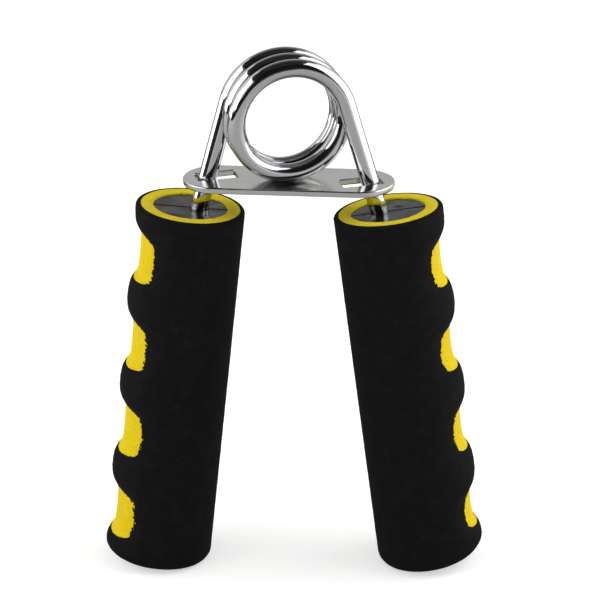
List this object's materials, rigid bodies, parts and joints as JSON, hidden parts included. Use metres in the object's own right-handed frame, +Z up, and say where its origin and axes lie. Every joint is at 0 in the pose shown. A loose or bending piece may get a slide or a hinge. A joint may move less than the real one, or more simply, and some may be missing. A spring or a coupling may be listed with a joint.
{
  "type": "hand grip strengthener",
  "caption": "Spring hand exerciser: a coiled steel wire with two leaning legs, a slotted guide plate and a pair of grooved two-layer foam grips on split plastic cores.",
  "frame": {"origin": "centre of the object's footprint, on the plane that the two grips stand on", "axes": "+Z up along the object's height, X across the two grips, Y along the coil's axis"},
  "size_m": [0.108, 0.0556, 0.1562],
  "materials": {
    "spring_wire": "polished",
    "guide_plate": "polished",
    "core_plastic": "gloss",
    "yellow_foam": "matte",
    "black_foam": "matte"
  },
  "bodies": {
    "left_grip": {"spring_coil": "spring_wire", "left_leg": "spring_wire", "left_core_peg_half": "core_plastic", "left_core_socket_half": "core_plastic", "left_inner_foam": "yellow_foam", "left_outer_foam": "black_foam"},
    "right_grip": {"right_leg": "spring_wire", "right_core_peg_half": "core_plastic", "right_core_socket_half": "core_plastic", "right_inner_foam": "yellow_foam", "right_outer_foam": "black_foam"},
    "plate": {"guide_plate": "guide_plate"}
  },
  "joints": [
    {"name": "squeeze", "type": "hinge", "parent": "left_grip", "child": "right_grip", "pos_m": [0, 0, 0.1377], "axis": [0, 1, 0], "range_deg": [0, 23], "stiffness_Nm_per_rad": 27, "springref_deg": -4.58, "deforming": ["spring_coil"]},
    {"name": "plate_follow", "type": "hinge", "parent": "left_grip", "child": "plate", "pos_m": [0, 0, 0.1377], "axis": [0, 1, 0], "range_deg": [0, 11.5]}
  ],
  "couplings": [
    {"joint": "plate_follow", "follows": "squeeze", "ratio": 0.5}
  ]
}
